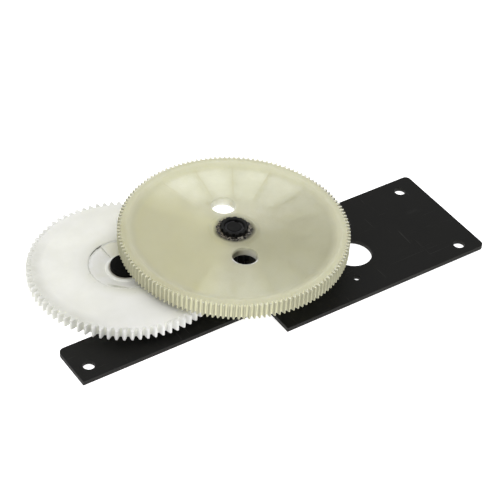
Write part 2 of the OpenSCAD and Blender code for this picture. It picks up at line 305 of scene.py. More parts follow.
def bars(name, centre, directions, span, width, low, high, draft):
    """Straight radial ribs: full width at the top, narrower by the draft below, lower edges cut off."""
    points, faces = [], []
    chamfer = 0.3
    half_low, half_high = width / 2 - draft, width / 2
    outline = [(-half_low, low + chamfer), (-half_low + chamfer, low), (half_low - chamfer, low),
               (half_low, low + chamfer), (half_high, high), (-half_high, high)]
    for direction in directions:
        along = np.array([math.cos(direction), math.sin(direction)])
        across = np.array([-along[1], along[0]])
        start = len(points)
        for reach in span:
            for side, z in outline:
                spot = centre + along * reach + across * side
                points.append((spot[0], spot[1], z))
        count = len(outline)
        for k in range(count):
            after = (k + 1) % count
            faces.append((start + k, start + after, start + count + after, start + count + k))
        faces.append(tuple(range(start, start + count)))
        faces.append(tuple(range(start + count, start + 2 * count)))
    return mesh_object(name, points, faces)


def polar_place(centre, reach, direction):
    """X and Y at a distance and direction from a centre."""
    return centre + reach * np.array([math.cos(direction), math.sin(direction)])


# ---------------------------------------------------------------- the gears


def large_gear():
    """Ivory moulding: fine teeth, recessed web with two round holes, ribs beneath, toothed bore."""
    turn = MOTOR_DIRECTION + HALF_INPUT_PITCH
    chamfer = 0.22
    plain = circle(2 * INPUT_TEETH, turn - HALF_INPUT_PITCH)

    def teeth(z, inset=0.0):
        """Ring along the gear's own teeth."""
        return tooth_ring(INPUT_TEETH, INPUT_MODULE, z, turn, thin=TOOTH_THIN, inset=inset, steps=3,
                          softness=0.07)

    def bore(z, inset=0.0):
        """Ring along the toothed bore, a moulding gap clear of the pinion."""
        return tooth_ring(DRIVE_TEETH, DRIVE_MODULE, z, TO_OUTPUT, DRIVE_SHIFT,
                          TOOTH_THIN, inset - MOULD_GAP, steps=5)

    rings = [teeth(RIM_LOW, chamfer), teeth(RIM_LOW + chamfer),
             teeth(RIM_HIGH - chamfer), teeth(RIM_HIGH, chamfer)]
    rings += section(plain, [(RIM_MIDDLE, RIM_HIGH, 0), (RIM_INNER + 1.6, RIM_HIGH, 1.4),
                             (RIM_INNER - 2.0, WEB_TOP, 3.0), (50, WEB_TOP, 0), (HUB_R + 4, WEB_TOP, 0),
                             (HUB_R + 1, WEB_TOP, 1.2), (HUB_R - 1, TEETH_TOP, 0.5),
                             (BORE_EDGE, TEETH_TOP, 0)])
    lead_in, opened = 0.2, -0.15
    rings += [bore(TEETH_TOP, opened), bore(TEETH_TOP - lead_in),
              bore(RIM_LOW + lead_in), bore(RIM_LOW, opened)]
    rib_in, rib_out = ROUND_RIB_R - ROUND_RIB_WIDTH, ROUND_RIB_R
    rings += section(plain, [(BORE_EDGE, RIM_LOW, 0), (HUB_R - 0.3, RIM_LOW, 0.5), (HUB_R, WEB_LOW, 1.4),
                             (rib_in - 0.1, WEB_LOW, 1.0), (rib_in + 0.1, COLLAR_LOW, 0.4),
                             (rib_out - 0.1, COLLAR_LOW, 0.4), (rib_out + 0.1, WEB_LOW, 1.0),
                             (RIM_INNER - 0.4, WEB_LOW, 2.2), (RIM_INNER + 0.1, RIM_LOW, 0.5),
                             (RIM_MIDDLE, RIM_LOW, 0)])
    gear = loft("ivory_gear_moulding", IDLER, rings)
    directions = [RIB_DIRECTION + k * TAU / RIBS for k in range(RIBS)]
    ribs = bars("gear_ribs", IDLER, directions, (ROUND_RIB_R - 1, RIM_INNER + 1.5), RIB_WIDTH,
                RIM_LOW + 1.2, WEB_LOW + 1.0, 0.25)
    places = [polar_place(IDLER, LIGHT_HOLE_AT, LIGHT_HOLE_DIRECTION + side) for side in (0, math.pi)]
    outer = LIGHT_HOLE_R + COLLAR_WIDTH
    collars = spools("hole_collars", places, [(outer - 0.3, COLLAR_LOW), (outer, COLLAR_LOW + 0.3),
                                              (outer, WEB_TOP - 1.0)])
    wide = LIGHT_HOLE_R + 0.15
    profile = [(wide + 0.6, WEB_TOP + 1), (wide, WEB_TOP + 0.01), (LIGHT_HOLE_R + 0.04, WEB_TOP - 0.15),
               (LIGHT_HOLE_R, WEB_TOP - 0.4), (LIGHT_HOLE_R, COLLAR_LOW + 0.5), (wide, COLLAR_LOW - 0.01),
               (wide + 0.6, COLLAR_LOW - 1)]
    holes = spools("light_hole_cutters", places, profile)
    merged(gear, ("UNION", ribs), ("UNION", collars), ("DIFFERENCE", holes))
    return soften(gear)


def pinion():
    """Black steel pinion: toothed to just under the large gear's rim, then a plain scalloped end."""
    core_r, bore_r, groove_r = 8.9, 6.25, 10.3
    groove_low, groove_high = 18.8, 20.0
    chamfer, core_bevel, core_lip = 0.25, 0.45, 0.12

    def teeth(z, inset=0.0):
        """Ring along the pinion's teeth."""
        return tooth_ring(DRIVE_TEETH, DRIVE_MODULE, z, TO_OUTPUT, DRIVE_SHIFT, TOOTH_THIN, inset, steps=6)

    def capped(z, limit, inset=0.0):
        """The same ring, turned down to a largest radius."""
        angles, radii, _ = teeth(z, inset)
        return angles, np.minimum(radii, limit), z

    outline = teeth(0.0)[0]
    rings = [teeth(PINION_LOW, chamfer), teeth(PINION_LOW + chamfer), teeth(groove_low),
             capped(groove_low, groove_r), capped(groove_high, groove_r), teeth(groove_high),
             teeth(TEETH_TOP - chamfer), teeth(TEETH_TOP, chamfer),
             capped(TEETH_TOP, core_r, chamfer), capped(PINION_HIGH - core_bevel, core_r, chamfer),
             capped(PINION_HIGH - core_lip, core_r - core_lip, chamfer),
             capped(PINION_HIGH, core_r - core_bevel, chamfer)]
    rings += section(outline, [(bore_r + 0.5, PINION_HIGH, 0.15), (bore_r, PINION_HIGH - 0.5, 0.15),
                               (bore_r, PINION_LOW + 0.3, 0), (bore_r + 0.3, PINION_LOW, 0)])
    return soften(loft("drive_pinion_steel", IDLER, rings), 28)


def white_gear():
    """White moulding: coarse teeth, dished recess, grooved and ribbed underside."""
    turn = TO_OUTPUT + math.pi + HALF_OUTPUT_PITCH
    chamfer = 0.3
    plain = circle(4 * OUTPUT_TEETH, turn - HALF_OUTPUT_PITCH)

    def teeth(z, inset=0.0):
        """Ring along the gear's own teeth."""
        return tooth_ring(OUTPUT_TEETH, DRIVE_MODULE, z, turn, thin=TOOTH_THIN, inset=inset, steps=4)

    rings = [teeth(WHITE_RIM_LOW, chamfer), teeth(WHITE_RIM_LOW + chamfer),
             teeth(WHITE_HIGH - chamfer), teeth(WHITE_HIGH, chamfer)]
    sunk = WHITE_HIGH - SUNK_DEPTH
    rings += section(plain, [(WHITE_RIM_MIDDLE, WHITE_HIGH, 0), (SUNK_OUT + 1.0, WHITE_HIGH, 1.0),
                             (SUNK_OUT - 1.0, sunk, 1.0), (SUNK_IN, sunk, 1.5),
                             (SUNK_IN - 4.5, WHITE_HIGH, 1.5), (26, WHITE_HIGH, 0),
                             (MOUTH_R, WHITE_HIGH, 0.4), (RECESS_R, WHITE_HIGH - MOUTH_DEPTH, 0.3),
                             (RECESS_R, SEAT_HIGH, 0.2), (DISH_IN_R, SEAT_LOW, 0), (SHAFT_R, SEAT_LOW, 0.2),
                             (SHAFT_R, FLANGE_SEAT_TOP, 0), (FLANGE_SEAT_R, FLANGE_SEAT_TOP, 0.3),
                             (FLANGE_SEAT_R, WHITE_LOW, 0.3), (WHITE_BOSS_R, WHITE_LOW, 0.6),
                             (WHITE_BOSS_R + 0.1, WHITE_RIM_LOW, 0.8), (GROOVE_IN, WHITE_RIM_LOW, 0.4),
                             (GROOVE_IN + 0.2, GROOVE_TOP, 0.7), (GROOVE_OUT - 0.2, GROOVE_TOP, 0.7),
                             (GROOVE_OUT, WHITE_RIM_LOW, 0.4), (WHITE_RIM_MIDDLE, WHITE_RIM_LOW, 0)])
    gear = loft("white_gear_moulding", OUTPUT, rings)
    directions = [k * TAU / WHITE_RIBS for k in range(WHITE_RIBS)]
    ribs = bars("white_gear_ribs", OUTPUT, directions, (GROOVE_IN - 1, GROOVE_OUT + 1), 2.0,
                WHITE_RIM_LOW + 0.02, GROOVE_TOP + 0.6, 0.2)
    places = [polar_place(OUTPUT, RIVET_AT, math.radians(30 + 120 * k)) for k in range(3)]
    profile = [(RIVET_R, WHITE_LOW - 1), (RIVET_R, RIVET_TOP - 1.2), (RIVET_HEAD_R, RIVET_TOP),
               (RIVET_HEAD_R, SEAT_HIGH)]
    merged(gear, ("UNION", ribs), ("DIFFERENCE", spools("rivet_hole_cutters", places, profile)))
    return soften(gear)


def lump_ring(name, centre, inner, outer, z, height, seed):
    """A flat ring whose top rises and falls at random, such as grease pushed round a shaft."""
    count, steps = 312, 7
    edge_wobble, sunk_edge, skirt = 0.35, 0.2, 0.3
    chance = random.Random(seed)
    waves = [(chance.randint(5, 40), chance.uniform(0, TAU), chance.uniform(0.3, 1)) for _ in range(9)]

    def lumps(angles, share):
        """Uneven height round the ring; share moves the pattern from one ring to the next."""
        total = sum(size * np.sin(n * angles + turn + 5 * share) for n, turn, size in waves)
        return total / 3.2

    angles = circle(count)
    edge = outer + edge_wobble * lumps(angles, 0.0)
    points = []
    for k in range(steps + 1):
        share = k / steps
        radii = inner + (edge - inner) * share
        dome = math.sin(math.pi * min(1.0, 0.35 + 0.65 * share)) ** 0.6 if share < 1 else 0.0
        tops = z + height * dome * (0.35 + 0.65 * lumps(angles, share))
        if k == steps:
            tops = np.full(count, z - sunk_edge)
        points.append(np.column_stack([radii * np.cos(angles), radii * np.sin(angles), tops]))
    floor_z = np.full(count, z - skirt)
    under = np.column_stack([points[0][:, :2], floor_z])
    grid = points + [np.column_stack([points[-1][:, :2] * 0.995, floor_z]), under]
    total = np.concatenate(grid)
    total[:, :2] += centre
    faces = []
    for level in range(len(grid)):
        after = (level + 1) % len(grid)
        for k in range(count):
            nxt = (k + 1) % count
            faces.append((level * count + k, level * count + nxt, after * count + nxt, after * count + k))
    return soften(mesh_object(name, total, faces), 80)


def smear(name, centre, reach, start, end, z, width, height, seed):
    """A tapered streak of grease along an arc round the centre."""
    chance = random.Random(seed)
    waves = [(chance.uniform(8, 40), chance.uniform(0, TAU)) for _ in range(4)]
    count, sides = 48, 8
    points, faces = [], []
    for k in range(count + 1):
        share = k / count
        angle = start + (end - start) * share
        taper = math.sin(math.pi * share) ** 0.7 + 0.02
        wobble = 1 + 0.25 * sum(math.sin(n * share + turn) for n, turn in waves) / 2
        for side in range(sides):
            a = TAU * side / sides
            out = reach + width * taper * wobble * math.cos(a)
            spot = polar_place(centre, out, angle)
            points.append((spot[0], spot[1], z + height * taper * wobble * math.sin(a)))
    for k in range(count):
        for side in range(sides):
            a, b = k * sides + side, k * sides + (side + 1) % sides
            faces.append((a, b, b + sides, a + sides))
    faces.append(tuple(range(sides)))
    faces.append(tuple(range(count * sides, (count + 1) * sides)))
    return soften(mesh_object(name, points, faces), 80)


# ---------------------------------------------------------------- material tools


class Paint:
    """A node material with short names for the nodes that these materials use."""

    def __init__(self, name):
        self.material = bpy.data.materials.new(name)
        self.material.use_nodes = True
        self.nodes = self.material.node_tree.nodes
        self.links = self.material.node_tree.links
        self.shader = self.nodes["Principled BSDF"]
        self.place = self.nodes.new("ShaderNodeTexCoord").outputs["Object"]

    def _plug(self, socket, value):
        """Links a socket to a node's output, or sets it to a number or colour."""
        if isinstance(value, bpy.types.NodeSocket):
            self.links.new(value, socket)
        elif isinstance(value, (tuple, list)) and len(value) == 3 and socket.type == "RGBA":
            socket.default_value = (*value, 1.0)
        else:
            socket.default_value = value

    def set(self, **values):
        """Sets or links inputs of the shader, named in lower case with underscores."""
        for key, value in values.items():
            self._plug(self.shader.inputs[key.replace("_", " ").title().replace("Ior", "IOR")], value)

    def math(self, operation, first, second=0.0, clamp=False):
        """One step of arithmetic."""
        node = self.nodes.new("ShaderNodeMath")
        node.operation, node.use_clamp = operation, clamp
        self._plug(node.inputs[0], first)
        self._plug(node.inputs[1], second)
        return node.outputs[0]

    def times(self, *values):
        """The product of two or more values."""
        product = values[0]
        for value in values[1:]:
            product = self.math("MULTIPLY", product, value)
        return product

    def mix(self, share, first, second):
        """Goes from the first colour to the second as share goes from 0 to 1."""
        node = self.nodes.new("ShaderNodeMix")
        node.data_type = "RGBA"
        self._plug(node.inputs["Factor"], share)
        self._plug(node.inputs[6], first)
        self._plug(node.inputs[7], second)
        return node.outputs[2]

    def fade(self, value, low, high, at_low=0.0, at_high=1.0):
        """Runs smoothly from at_low to at_high as value goes from low to high."""
        node = self.nodes.new("ShaderNodeMapRange")
        node.interpolation_type = "SMOOTHSTEP"
        for socket, number in zip(node.inputs[1:5], (low, high, at_low, at_high)):
            socket.default_value = number
        self._plug(node.inputs[0], value)
        return node.outputs[0]

    def band(self, value, centre, half_width, soft):
        """1 within half_width of centre, fading to 0 over soft."""
        away = self.math("ABSOLUTE", self.math("SUBTRACT", value, centre))
        return self.fade(away, half_width, half_width + soft, 1.0, 0.0)

    def noise(self, scale, detail=3.0, roughness=0.55, stretch=None, seed=0.0):
        """Noise over the piece; scale counts features a metre, stretch scales the three axes."""
        node = self.nodes.new("ShaderNodeTexNoise")
        mapping = self.nodes.new("ShaderNodeMapping")
        mapping.inputs["Location"].default_value = (seed, seed * 0.7, seed * 0.3)
        mapping.inputs["Scale"].default_value = stretch or (1, 1, 1)
        self.links.new(self.place, mapping.inputs["Vector"])
        self.links.new(mapping.outputs["Vector"], node.inputs["Vector"])
        node.inputs["Scale"].default_value = scale
        node.inputs["Detail"].default_value = detail
        node.inputs["Roughness"].default_value = roughness
        return node.outputs["Fac"]

    def around(self, centre):
        """Radius, angle and height about an upright axis; lengths in millimetres, angle in radians."""
        moved = self.nodes.new("ShaderNodeVectorMath")
        moved.operation = "SUBTRACT"
        self.links.new(self.place, moved.inputs[0])
        moved.inputs[1].default_value = (centre[0] * MM, centre[1] * MM, 0)
        split = self.nodes.new("ShaderNodeSeparateXYZ")
        self.links.new(moved.outputs[0], split.inputs[0])
        x, y, z = split.outputs
        square = self.math("ADD", self.times(x, x), self.times(y, y))
        radius = self.times(self.math("SQRT", square), 1 / MM)
        return radius, self.math("ARCTAN2", y, x), self.times(z, 1 / MM)

    def facing_up(self):
        """How far the piece's own surface looks along its Z axis."""
        node = self.nodes.new("ShaderNodeTexCoord")
        split = self.nodes.new("ShaderNodeSeparateXYZ")
        self.links.new(node.outputs["Normal"], split.inputs[0])
        return split.outputs[2]

    def arc(self, angle, centre, half_width, soft):
        """1 near one direction, fading to 0; angles in radians."""
        turned = self.math("SUBTRACT", angle, centre)
        wrapped = self.math("ARCTAN2", self.math("SINE", turned), self.math("COSINE", turned))
        return self.fade(self.math("ABSOLUTE", wrapped), half_width, half_width + soft, 1.0, 0.0)

    def vector(self, operation, first, second=None, factor=None):
        """One step of vector arithmetic."""
        node = self.nodes.new("ShaderNodeVectorMath")
        node.operation = operation
        self._plug(node.inputs[0], first)
        if second is not None:
            self._plug(node.inputs[1], second)
        if factor is not None:
            self._plug(node.inputs["Scale"], factor)
        return node.outputs[0]

    def evened(self, centre, share):
        """Normal leant by share from the surface's own towards straight away from an upright axis."""
        own = self.nodes.new("ShaderNodeTexCoord").outputs["Normal"]
        away = self.vector("SUBTRACT", self.place, (centre[0] * MM, centre[1] * MM, 0.0))
        away = self.vector("NORMALIZE", self.vector("MULTIPLY", away, (1.0, 1.0, 0.0)))
        lean = self.vector("SCALE", self.vector("SUBTRACT", away, own), factor=share)
        turn = self.nodes.new("ShaderNodeVectorTransform")
        turn.vector_type, turn.convert_from, turn.convert_to = "NORMAL", "OBJECT", "WORLD"
        self.links.new(self.vector("ADD", own, lean), turn.inputs[0])
        return self.vector("NORMALIZE", turn.outputs[0])

    def bump(self, height, distance, normal=None):
        """Fine relief, with a depth in metres, over the surface's own normal or a given one."""
        node = self.nodes.new("ShaderNodeBump")
        if normal:
            self.links.new(normal, node.inputs["Normal"])
        node.inputs["Strength"].default_value = 1.0
        node.inputs["Distance"].default_value = distance
        self.links.new(height, node.inputs["Height"])
        self.links.new(node.outputs["Normal"], self.shader.inputs["Normal"])


# ---------------------------------------------------------------- materials

# Distances in the materials are millimetres from a gear's axis. LEFT is where the gears' rims face
# left in the first view, counted from +X while the gears are at rest.
LEFT = math.radians(178)


def ivory_web(paint, radius, angle, clouds):
    """Clouded ivory with painted light and shade: yellower and lighter to the left, greyer and darker in
    front, a paler band painted on the rim, and painted shade on the rim's left part.
    """
    yellow_side, painted_shade_side = math.radians(168), math.radians(-68)
    colour = paint.mix(paint.fade(clouds, 0.3, 0.72), (0.520, 0.510, 0.350), (0.590, 0.580, 0.425))
    patches = paint.fade(paint.noise(9, 2, 0.5, seed=3.1), 0.45, 0.75, 0.0, 0.35)
    colour = paint.mix(patches, colour, (0.555, 0.520, 0.360))
    mottle = paint.fade(paint.noise(150, 3, 0.6, seed=5.5), 0.35, 0.65, 0.0, 0.22)
    colour = paint.mix(mottle, colour, (0.47, 0.455, 0.29))
    inside = paint.fade(radius, 66, 60)
    # Painted light and shade on the web: yellower and lighter to the left, where light comes up through it
    # from the white gear, greyer and darker in front, over the black plate.
    painted_under_light = paint.times(paint.arc(angle, yellow_side, 0.7, 0.6), inside, 0.7)
    colour = paint.mix(painted_under_light, colour, (0.67, 0.65, 0.38))
    painted_under_shade = paint.times(paint.arc(angle, painted_shade_side, 0.35, 0.9), inside, 0.7)
    colour = paint.mix(painted_under_shade, colour, (0.43, 0.42, 0.27))
    # Painted light: the rim and the web next to it are paler, against the shade on the rim's inner slope.
    colour = paint.mix(paint.fade(radius, 60, 66, 0.0, 0.5), colour, (0.70, 0.685, 0.495))
    # Painted shade on the rim where it faces left.
    painted_rim_shade = paint.times(paint.arc(angle, LEFT, 0.4, 0.5), paint.fade(radius, 65.5, 68), 0.6)
    return paint.mix(painted_rim_shade, colour, (0.50, 0.475, 0.31))


def ivory_rib_shade(paint, colour, radius, angle, clouds, top):
    """Painted shade: darker lines where the ribs under the far part of the web show through, standing in for
    the light from below that the ribs hold back.
    """
    far_side = math.radians(68)
    spoke = TAU / RIBS
    phase = paint.math("SUBTRACT", angle, RIB_DIRECTION - spoke / 2 - 8 * TAU)
    offset = paint.math("SUBTRACT", paint.math("MODULO", phase, spoke), spoke / 2)
    away = paint.times(paint.math("ABSOLUTE", offset), radius)
    line = paint.fade(away, 0.25, 0.75, 1.0, 0.0)
    reach = paint.times(paint.fade(radius, 28, 44), paint.fade(radius, 60, 64, 1.0, 0.0))
    seen = paint.arc(angle, far_side, 0.5, 0.35)
    # Painted shade along the ribs.
    ribs = paint.times(line, reach, top, seen, paint.fade(clouds, 0.2, 0.7, 0.2, 0.55))
    return paint.mix(ribs, colour, (0.50, 0.47, 0.30))


def ivory_halo(paint, colour, radius, angle, clouds, top):
    """A dark ring round the pinion, heaviest in front."""
    near = paint.arc(angle, math.radians(-105), 1.0, 1.3)
    specks = paint.fade(paint.noise(300, 3, 0.6, seed=7.7), 0.35, 0.6, 0.6, 1.0)
    tight = paint.times(paint.fade(radius, 11.4, 14.0, 0.95, 0.0), paint.fade(near, 0.0, 1.0, 0.3, 1.0),
                        top, specks)
    wide = paint.times(paint.fade(radius, 12.0, 16.5, 0.5, 0.0), paint.fade(clouds, 0.3, 0.7, 0.7, 1.1),
                       top, paint.fade(near, 0.0, 1.0, 0.2, 1.0))
    colour = paint.mix(wide, colour, (0.12, 0.105, 0.07))
    return paint.mix(tight, colour, (0.045, 0.04, 0.025))


def ivory_teeth(paint, colour, radius, angle, side):
    """Grime in the roots; painted light on the teeth at the far side; flanks painted lighter at the roots and
    darker towards the tips, with painted light on the left and painted shade on the right.
    """
    far_side, right_side = math.radians(55), math.radians(-42)
    teeth = paint.fade(radius, 72.2, 70.9)
    grime = paint.times(paint.fade(radius, 70.6, 71.2), teeth, paint.fade(paint.noise(60, 3), 0.4, 0.7))
    colour = paint.mix(paint.times(grime, 0.35), colour, (0.35, 0.34, 0.18))
    # Painted light on the teeth at the far side, where the bright floor shows through them.
    painted_far_light = paint.times(paint.fade(radius, 70.2, 71.0), paint.arc(angle, far_side, 0.9, 0.5), 0.7)
    colour = paint.mix(painted_far_light, colour, (0.86, 0.85, 0.72))
    # Painted light and shade on the flanks: lighter at the roots and darker at the tips against the shade
    # between teeth, lighter on the left, darker on the right.
    flank = paint.mix(paint.fade(radius, 71.0, 72.8), (1.0, 0.98, 0.72), (0.53, 0.52, 0.36))
    lit = paint.times(paint.arc(angle, LEFT, 0.35, 0.5), 0.45)
    flank = paint.mix(lit, flank, (0.90, 0.87, 0.60))
    shaded = paint.times(paint.arc(angle, right_side, 0.5, 0.8), 0.35)
    flank = paint.mix(shaded, flank, (0.55, 0.54, 0.37))
    return paint.mix(side, colour, flank)


def ivory_holes(paint, colour, radius, height, top):
    """Walls of the two round holes painted paler as painted light; the front one has painted shade inside and
    painted highlights on its edge.
    """
    steep = paint.fade(paint.math("ABSOLUTE", paint.facing_up()), 0.5, 0.1)
    wall = paint.times(steep, paint.fade(radius, 33.4, 34.2, 1.0, 0.0), paint.fade(radius, 15.5, 17))
    # Painted light: paler walls in both holes.
    deep = paint.fade(height, WEB_TOP - 2.5, WEB_TOP - 0.2, 0.8, 0.0)
    colour = paint.mix(paint.times(wall, deep), colour, (0.74, 0.72, 0.54))
    front_hole = polar_place(IDLER, LIGHT_HOLE_AT, LIGHT_HOLE_DIRECTION + math.pi)
    from_hole, hole_angle, depth = paint.around(front_hole)
    # Painted shade inside the front hole.
    painted_hole_shade = paint.times(wall, paint.arc(hole_angle, math.radians(112), 0.3, 0.7),
                       paint.fade(from_hole, LIGHT_HOLE_R + 0.4, LIGHT_HOLE_R + 1.0, 1.0, 0.0),
                       paint.fade(depth, WEB_TOP - 3.6, WEB_TOP - 0.5, 0.9, 0.1))
    colour = paint.mix(painted_hole_shade, colour, (0.07, 0.06, 0.035))
    # Painted highlights on the front hole's edge.
    worn = paint.math("ADD", paint.arc(hole_angle, math.radians(187), 0.15, 0.3),
                      paint.arc(hole_angle, math.radians(-77), 0.15, 0.3))
    worn = paint.times(worn, paint.band(from_hole, LIGHT_HOLE_R + 0.3, 0.5, 0.5), top, 0.8)
    return paint.mix(worn, colour, (0.95, 0.95, 0.90))


def ivory_nylon():
    """Translucent moulded nylon: clouding, painted shade lines where the ribs show through, a dark halo round
    the pinion, and painted light and shade on the web, teeth and hole walls.
    """
    paint = Paint("ivory_nylon")
    radius, angle, height = paint.around(IDLER)
    top = paint.fade(paint.facing_up(), 0.3, 0.8)
    side = paint.times(paint.math("SUBTRACT", 1.0, top), paint.fade(radius, 69, 70.5))
    clouds = paint.noise(28, 4, 0.6)
    colour = ivory_web(paint, radius, angle, clouds)
    colour = ivory_rib_shade(paint, colour, radius, angle, clouds, top)
    colour = ivory_halo(paint, colour, radius, angle, clouds, top)
    colour = ivory_teeth(paint, colour, radius, angle, side)
    colour = ivory_holes(paint, colour, radius, height, top)
    paint.set(base_color=colour, subsurface_weight=paint.fade(side, 0.0, 1.0, 1.0, 0.1), ior=1.5)
    paint.set(specular_ior_level=paint.fade(side, 0.0, 1.0, 0.3, 0.04))
    paint.set(subsurface_scale=paint.fade(radius, 66.5, 70.0, 0.020, 0.004))
    paint.set(subsurface_radius=(0.9, 0.95, 1.1))
    paint.set(roughness=paint.fade(paint.noise(70, 4), 0.3, 0.75, 0.38, 0.55))
    relief = paint.math("ADD", paint.noise(900, 3, 0.6, seed=1.0), paint.times(clouds, 2.0))
    paint.bump(relief, 0.00006, paint.evened(IDLER, paint.times(side, 0.9)))
    return paint.material


def white_nylon():
    """White moulded nylon with grey-green grease about the teeth and the recess; its flanks are painted paler
    as painted light, with painted shade on the flanks that face left.
    """
    paint = Paint("white_nylon")
    radius, angle, _ = paint.around(OUTPUT)
    top = paint.fade(paint.facing_up(), 0.3, 0.8)
    clouds = paint.noise(30, 4, 0.6, seed=2.0)
    colour = paint.mix(paint.fade(clouds, 0.3, 0.7), (0.80, 0.80, 0.76), (0.86, 0.86, 0.83))
    spots = paint.fade(paint.noise(160, 3, 0.5, seed=7.0), 0.64, 0.74, 0.0, 0.5)
    near_recess = paint.times(paint.band(radius, RECESS_R + 1.5, 1.0, 5.0), spots)
    colour = paint.mix(near_recess, colour, (0.42, 0.43, 0.34))
    stain = paint.times(paint.fade(radius, 32, 22), paint.fade(clouds, 0.35, 0.65, 0.1, 0.55))
    colour = paint.mix(stain, colour, (0.66, 0.66, 0.50))
    roots = paint.times(paint.fade(radius, 61.0, 58.2), paint.fade(radius, 57.2, 58.2))
    grime = paint.times(roots, paint.fade(paint.noise(110, 4, 0.6, seed=4.0), 0.42, 0.65, 0.0, 0.3))
    colour = paint.mix(grime, colour, (0.30, 0.31, 0.24))
    side = paint.times(paint.math("SUBTRACT", 1.0, top), paint.fade(radius, 57.0, 58.5))
    # Painted light: the flanks are paler.
    colour = paint.mix(paint.times(side, 0.9), colour, (0.95, 0.95, 0.88))
    left = paint.arc(angle, LEFT, 0.5, 0.5)
    # Painted shade on the flanks that face left.
    colour = paint.mix(paint.times(left, side, 0.85), colour, (0.76, 0.76, 0.70))
    dust = paint.fade(paint.noise(140, 4, 0.6, seed=6.6), 0.3, 0.65, 0.45, 1.0)
    dusty = paint.times(left, paint.fade(radius, 50.0, 58.5), top, dust)
    colour = paint.mix(dusty, colour, (0.68, 0.68, 0.62))
    paint.set(base_color=colour, subsurface_weight=paint.fade(side, 0.0, 1.0, 1.0, 0.75), ior=1.5)
    paint.set(subsurface_scale=0.004, subsurface_radius=(1.0, 1.0, 0.95))
    paint.set(specular_ior_level=paint.fade(side, 0.0, 1.0, 0.3, 0.1))
    paint.set(roughness=paint.fade(paint.noise(60, 4, seed=5.0), 0.3, 0.75, 0.36, 0.52))
    relief = paint.math("ADD", paint.noise(900, 3, 0.6, seed=6.0), paint.times(clouds, 2.0))
    paint.bump(relief, 0.00005, paint.evened(OUTPUT, paint.times(side, 0.8)))
    return paint.material


def washer_nylon():
    """Thin nylon washer, a little yellower, with grease stains."""
    paint = Paint("washer_nylon")
    radius, angle, _ = paint.around(OUTPUT)
    yellow_side, smudged_side = math.radians(70), math.radians(-112)
    clouds = paint.noise(70, 4, 0.6, seed=8.0)
    colour = paint.mix(paint.fade(clouds, 0.35, 0.65), (0.84, 0.84, 0.77), (0.89, 0.89, 0.85))
    yellow = paint.times(paint.arc(angle, yellow_side, 0.3, 0.5), paint.fade(clouds, 0.3, 0.6, 0.3, 0.7))
    colour = paint.mix(yellow, colour, (0.84, 0.82, 0.64))
    smudges = paint.times(paint.band(radius, 21.0, 0.8, 1.3), paint.arc(angle, smudged_side, 0.35, 0.5),
                          paint.fade(paint.noise(180, 3, 0.6, seed=3.3), 0.38, 0.60))
    colour = paint.mix(paint.times(smudges, 0.8), colour, (0.38, 0.38, 0.28))
    dark = paint.times(paint.fade(radius, 11.3, 9.8), paint.fade(clouds, 0.3, 0.7, 0.5, 1.0))
    colour = paint.mix(dark, colour, (0.16, 0.13, 0.07))
    paint.set(base_color=colour, subsurface_weight=1.0, subsurface_scale=0.0015, ior=1.5)
    paint.set(subsurface_radius=(1.0, 1.0, 0.95))
    paint.set(roughness=paint.fade(clouds, 0.3, 0.75, 0.3, 0.5))
    paint.bump(paint.noise(700, 3, seed=9.0), 0.00005)
    return paint.material


def black_plate():
    """Thin black finish on sheet steel: soft mottling, wiped oil, fine scratches, greyer cut edges."""
    paint = Paint("black_plate")
    up = paint.math("ABSOLUTE", paint.facing_up())
    mottle = paint.noise(45, 5, 0.65)
    colour = paint.mix(paint.fade(mottle, 0.3, 0.7), (0.0075, 0.0075, 0.0068), (0.0115, 0.0115, 0.0105))
    oil = paint.fade(paint.noise(10, 3, 0.6, seed=2.2), 0.42, 0.68)
    colour = paint.mix(paint.times(oil, 0.5), colour, (0.0065, 0.0066, 0.0062))
    rubbed = paint.fade(paint.noise(30, 6, 0.7, (1, 3, 1), 4.4), 0.60, 0.78)
    scratched_along = paint.fade(paint.noise(50, 2, 0.5, (0.6, 26, 1), 1.7), 0.70, 0.74)
    scratched_across = paint.fade(paint.noise(45, 2, 0.5, (22, 0.8, 1), 5.2), 0.72, 0.76)
    scratches = paint.math("ADD", scratched_along, scratched_across)
    marks = paint.math("ADD", scratches, paint.times(rubbed, 0.4), clamp=True)
    colour = paint.mix(paint.times(marks, 0.35), colour, (0.055, 0.055, 0.052))
    bare = paint.times(paint.fade(up, 0.98, 0.80), paint.fade(up, 0.05, 0.3))
    worn = paint.times(bare, paint.fade(paint.noise(120, 4, 0.6, seed=6.6), 0.35, 0.6, 0.25, 0.85))
    colour = paint.mix(worn, colour, (0.052, 0.051, 0.046))
    grain = paint.noise(120, 3, 0.6, (1, 1, 8), 3.0)
    sheared = paint.times(paint.fade(up, 0.25, 0.05), paint.fade(grain, 0.35, 0.7, 0.2, 0.8))
    colour = paint.mix(sheared, colour, (0.028, 0.027, 0.023))
    paint.set(base_color=colour, metallic=0.0, specular_ior_level=0.12, ior=1.5)
    dull = paint.fade(mottle, 0.3, 0.75, 0.50, 0.66)
    paint.set(roughness=paint.math("SUBTRACT", dull, paint.times(oil, 0.10)))
    relief = paint.math("ADD", paint.noise(1500, 3, 0.6, seed=1.1), paint.times(marks, -1.2))
    paint.bump(relief, 0.00004)
    return paint.material


